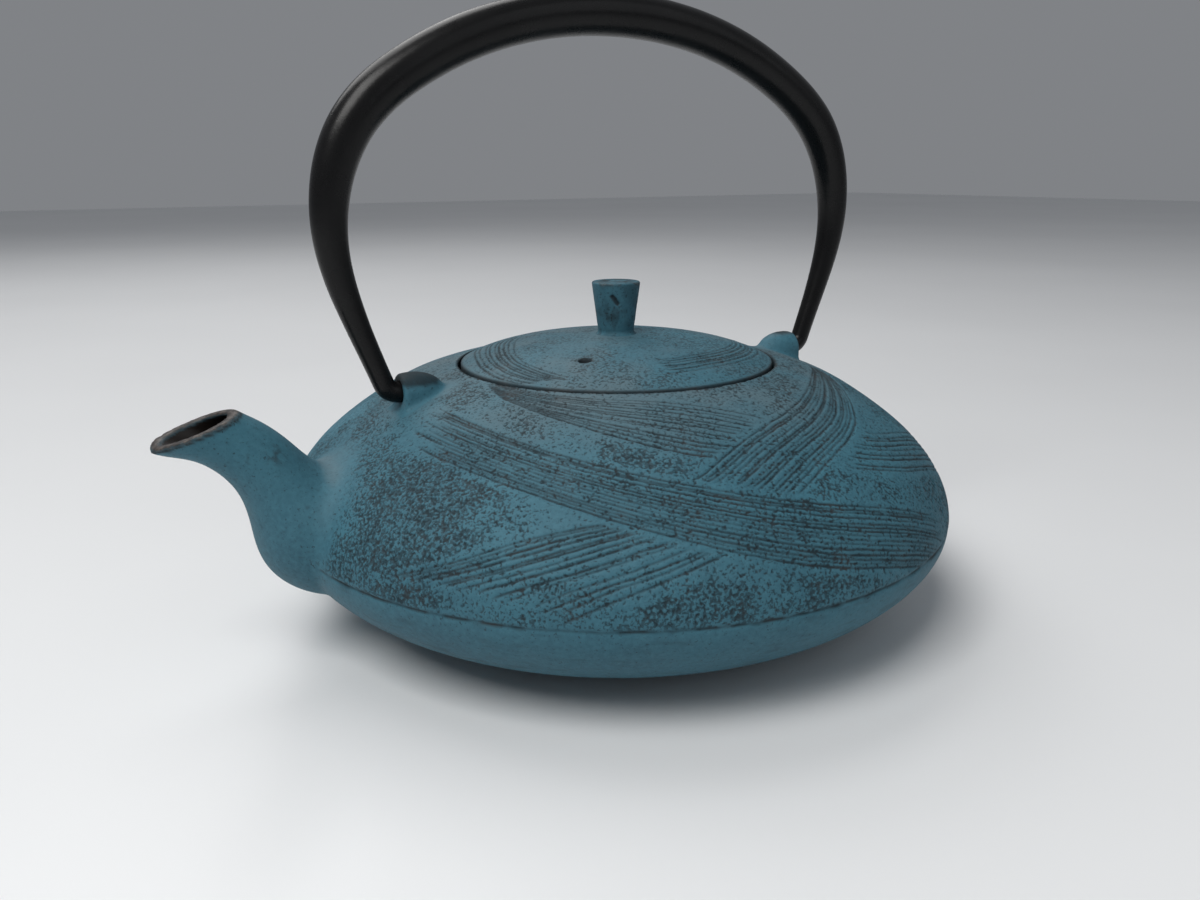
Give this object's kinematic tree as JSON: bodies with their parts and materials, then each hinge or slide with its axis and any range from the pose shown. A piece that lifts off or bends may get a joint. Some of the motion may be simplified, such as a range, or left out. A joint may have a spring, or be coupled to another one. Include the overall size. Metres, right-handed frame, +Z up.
{
  "type": "teapot with infuser",
  "caption": "Low round cast-iron teapot with a brushed patina surface, short spout, flush lid with knob, tall folding bail handle and a lift-out steel mesh infuser basket.",
  "frame": {"origin": "centre of the flat base, on the pot's axis, on the surface the pot stands on", "axes": "+Z up along the pot's axis, -X towards the spout, the handle stands in the XZ plane and its hinge line runs along X"},
  "size_m": [0.1939, 0.1666, 0.1459],
  "materials": {
    "patina_iron": "blue-green patina over dark iron, matte, brushed texture",
    "black_lacquer": "black baked lacquer, satin",
    "rivet_steel": "plain steel, dull",
    "basket_steel": "stainless steel, satin",
    "mesh_steel": "woven stainless wire"
  },
  "bodies": {
    "pot": {"pot_body": "patina_iron"},
    "handle": {"bail_handle": "black_lacquer"},
    "infuser": {"infuser_collar": "basket_steel", "infuser_clamp_band": "basket_steel", "infuser_wall_mesh": "mesh_steel", "infuser_base_ring": "basket_steel", "infuser_base_mesh": "mesh_steel"},
    "lid": {"lid": "patina_iron", "lid_knob": "patina_iron", "knob_rivet": "rivet_steel", "knob_washer": "rivet_steel"}
  },
  "joints": [
    {"name": "handle_fold", "type": "hinge", "parent": "pot", "child": "handle", "pos_m": [0, 0, 0.0581], "axis": [1, 0, 0], "range_deg": [-100, 100]},
    {"name": "infuser_lift", "type": "slide", "parent": "pot", "child": "infuser", "axis": [0, 0, 1], "range_m": [0, 0.05]},
    {"name": "lid_lift", "type": "slide", "parent": "infuser", "child": "lid", "axis": [0, 0, 1], "range_m": [0, 0.045]}
  ]
}
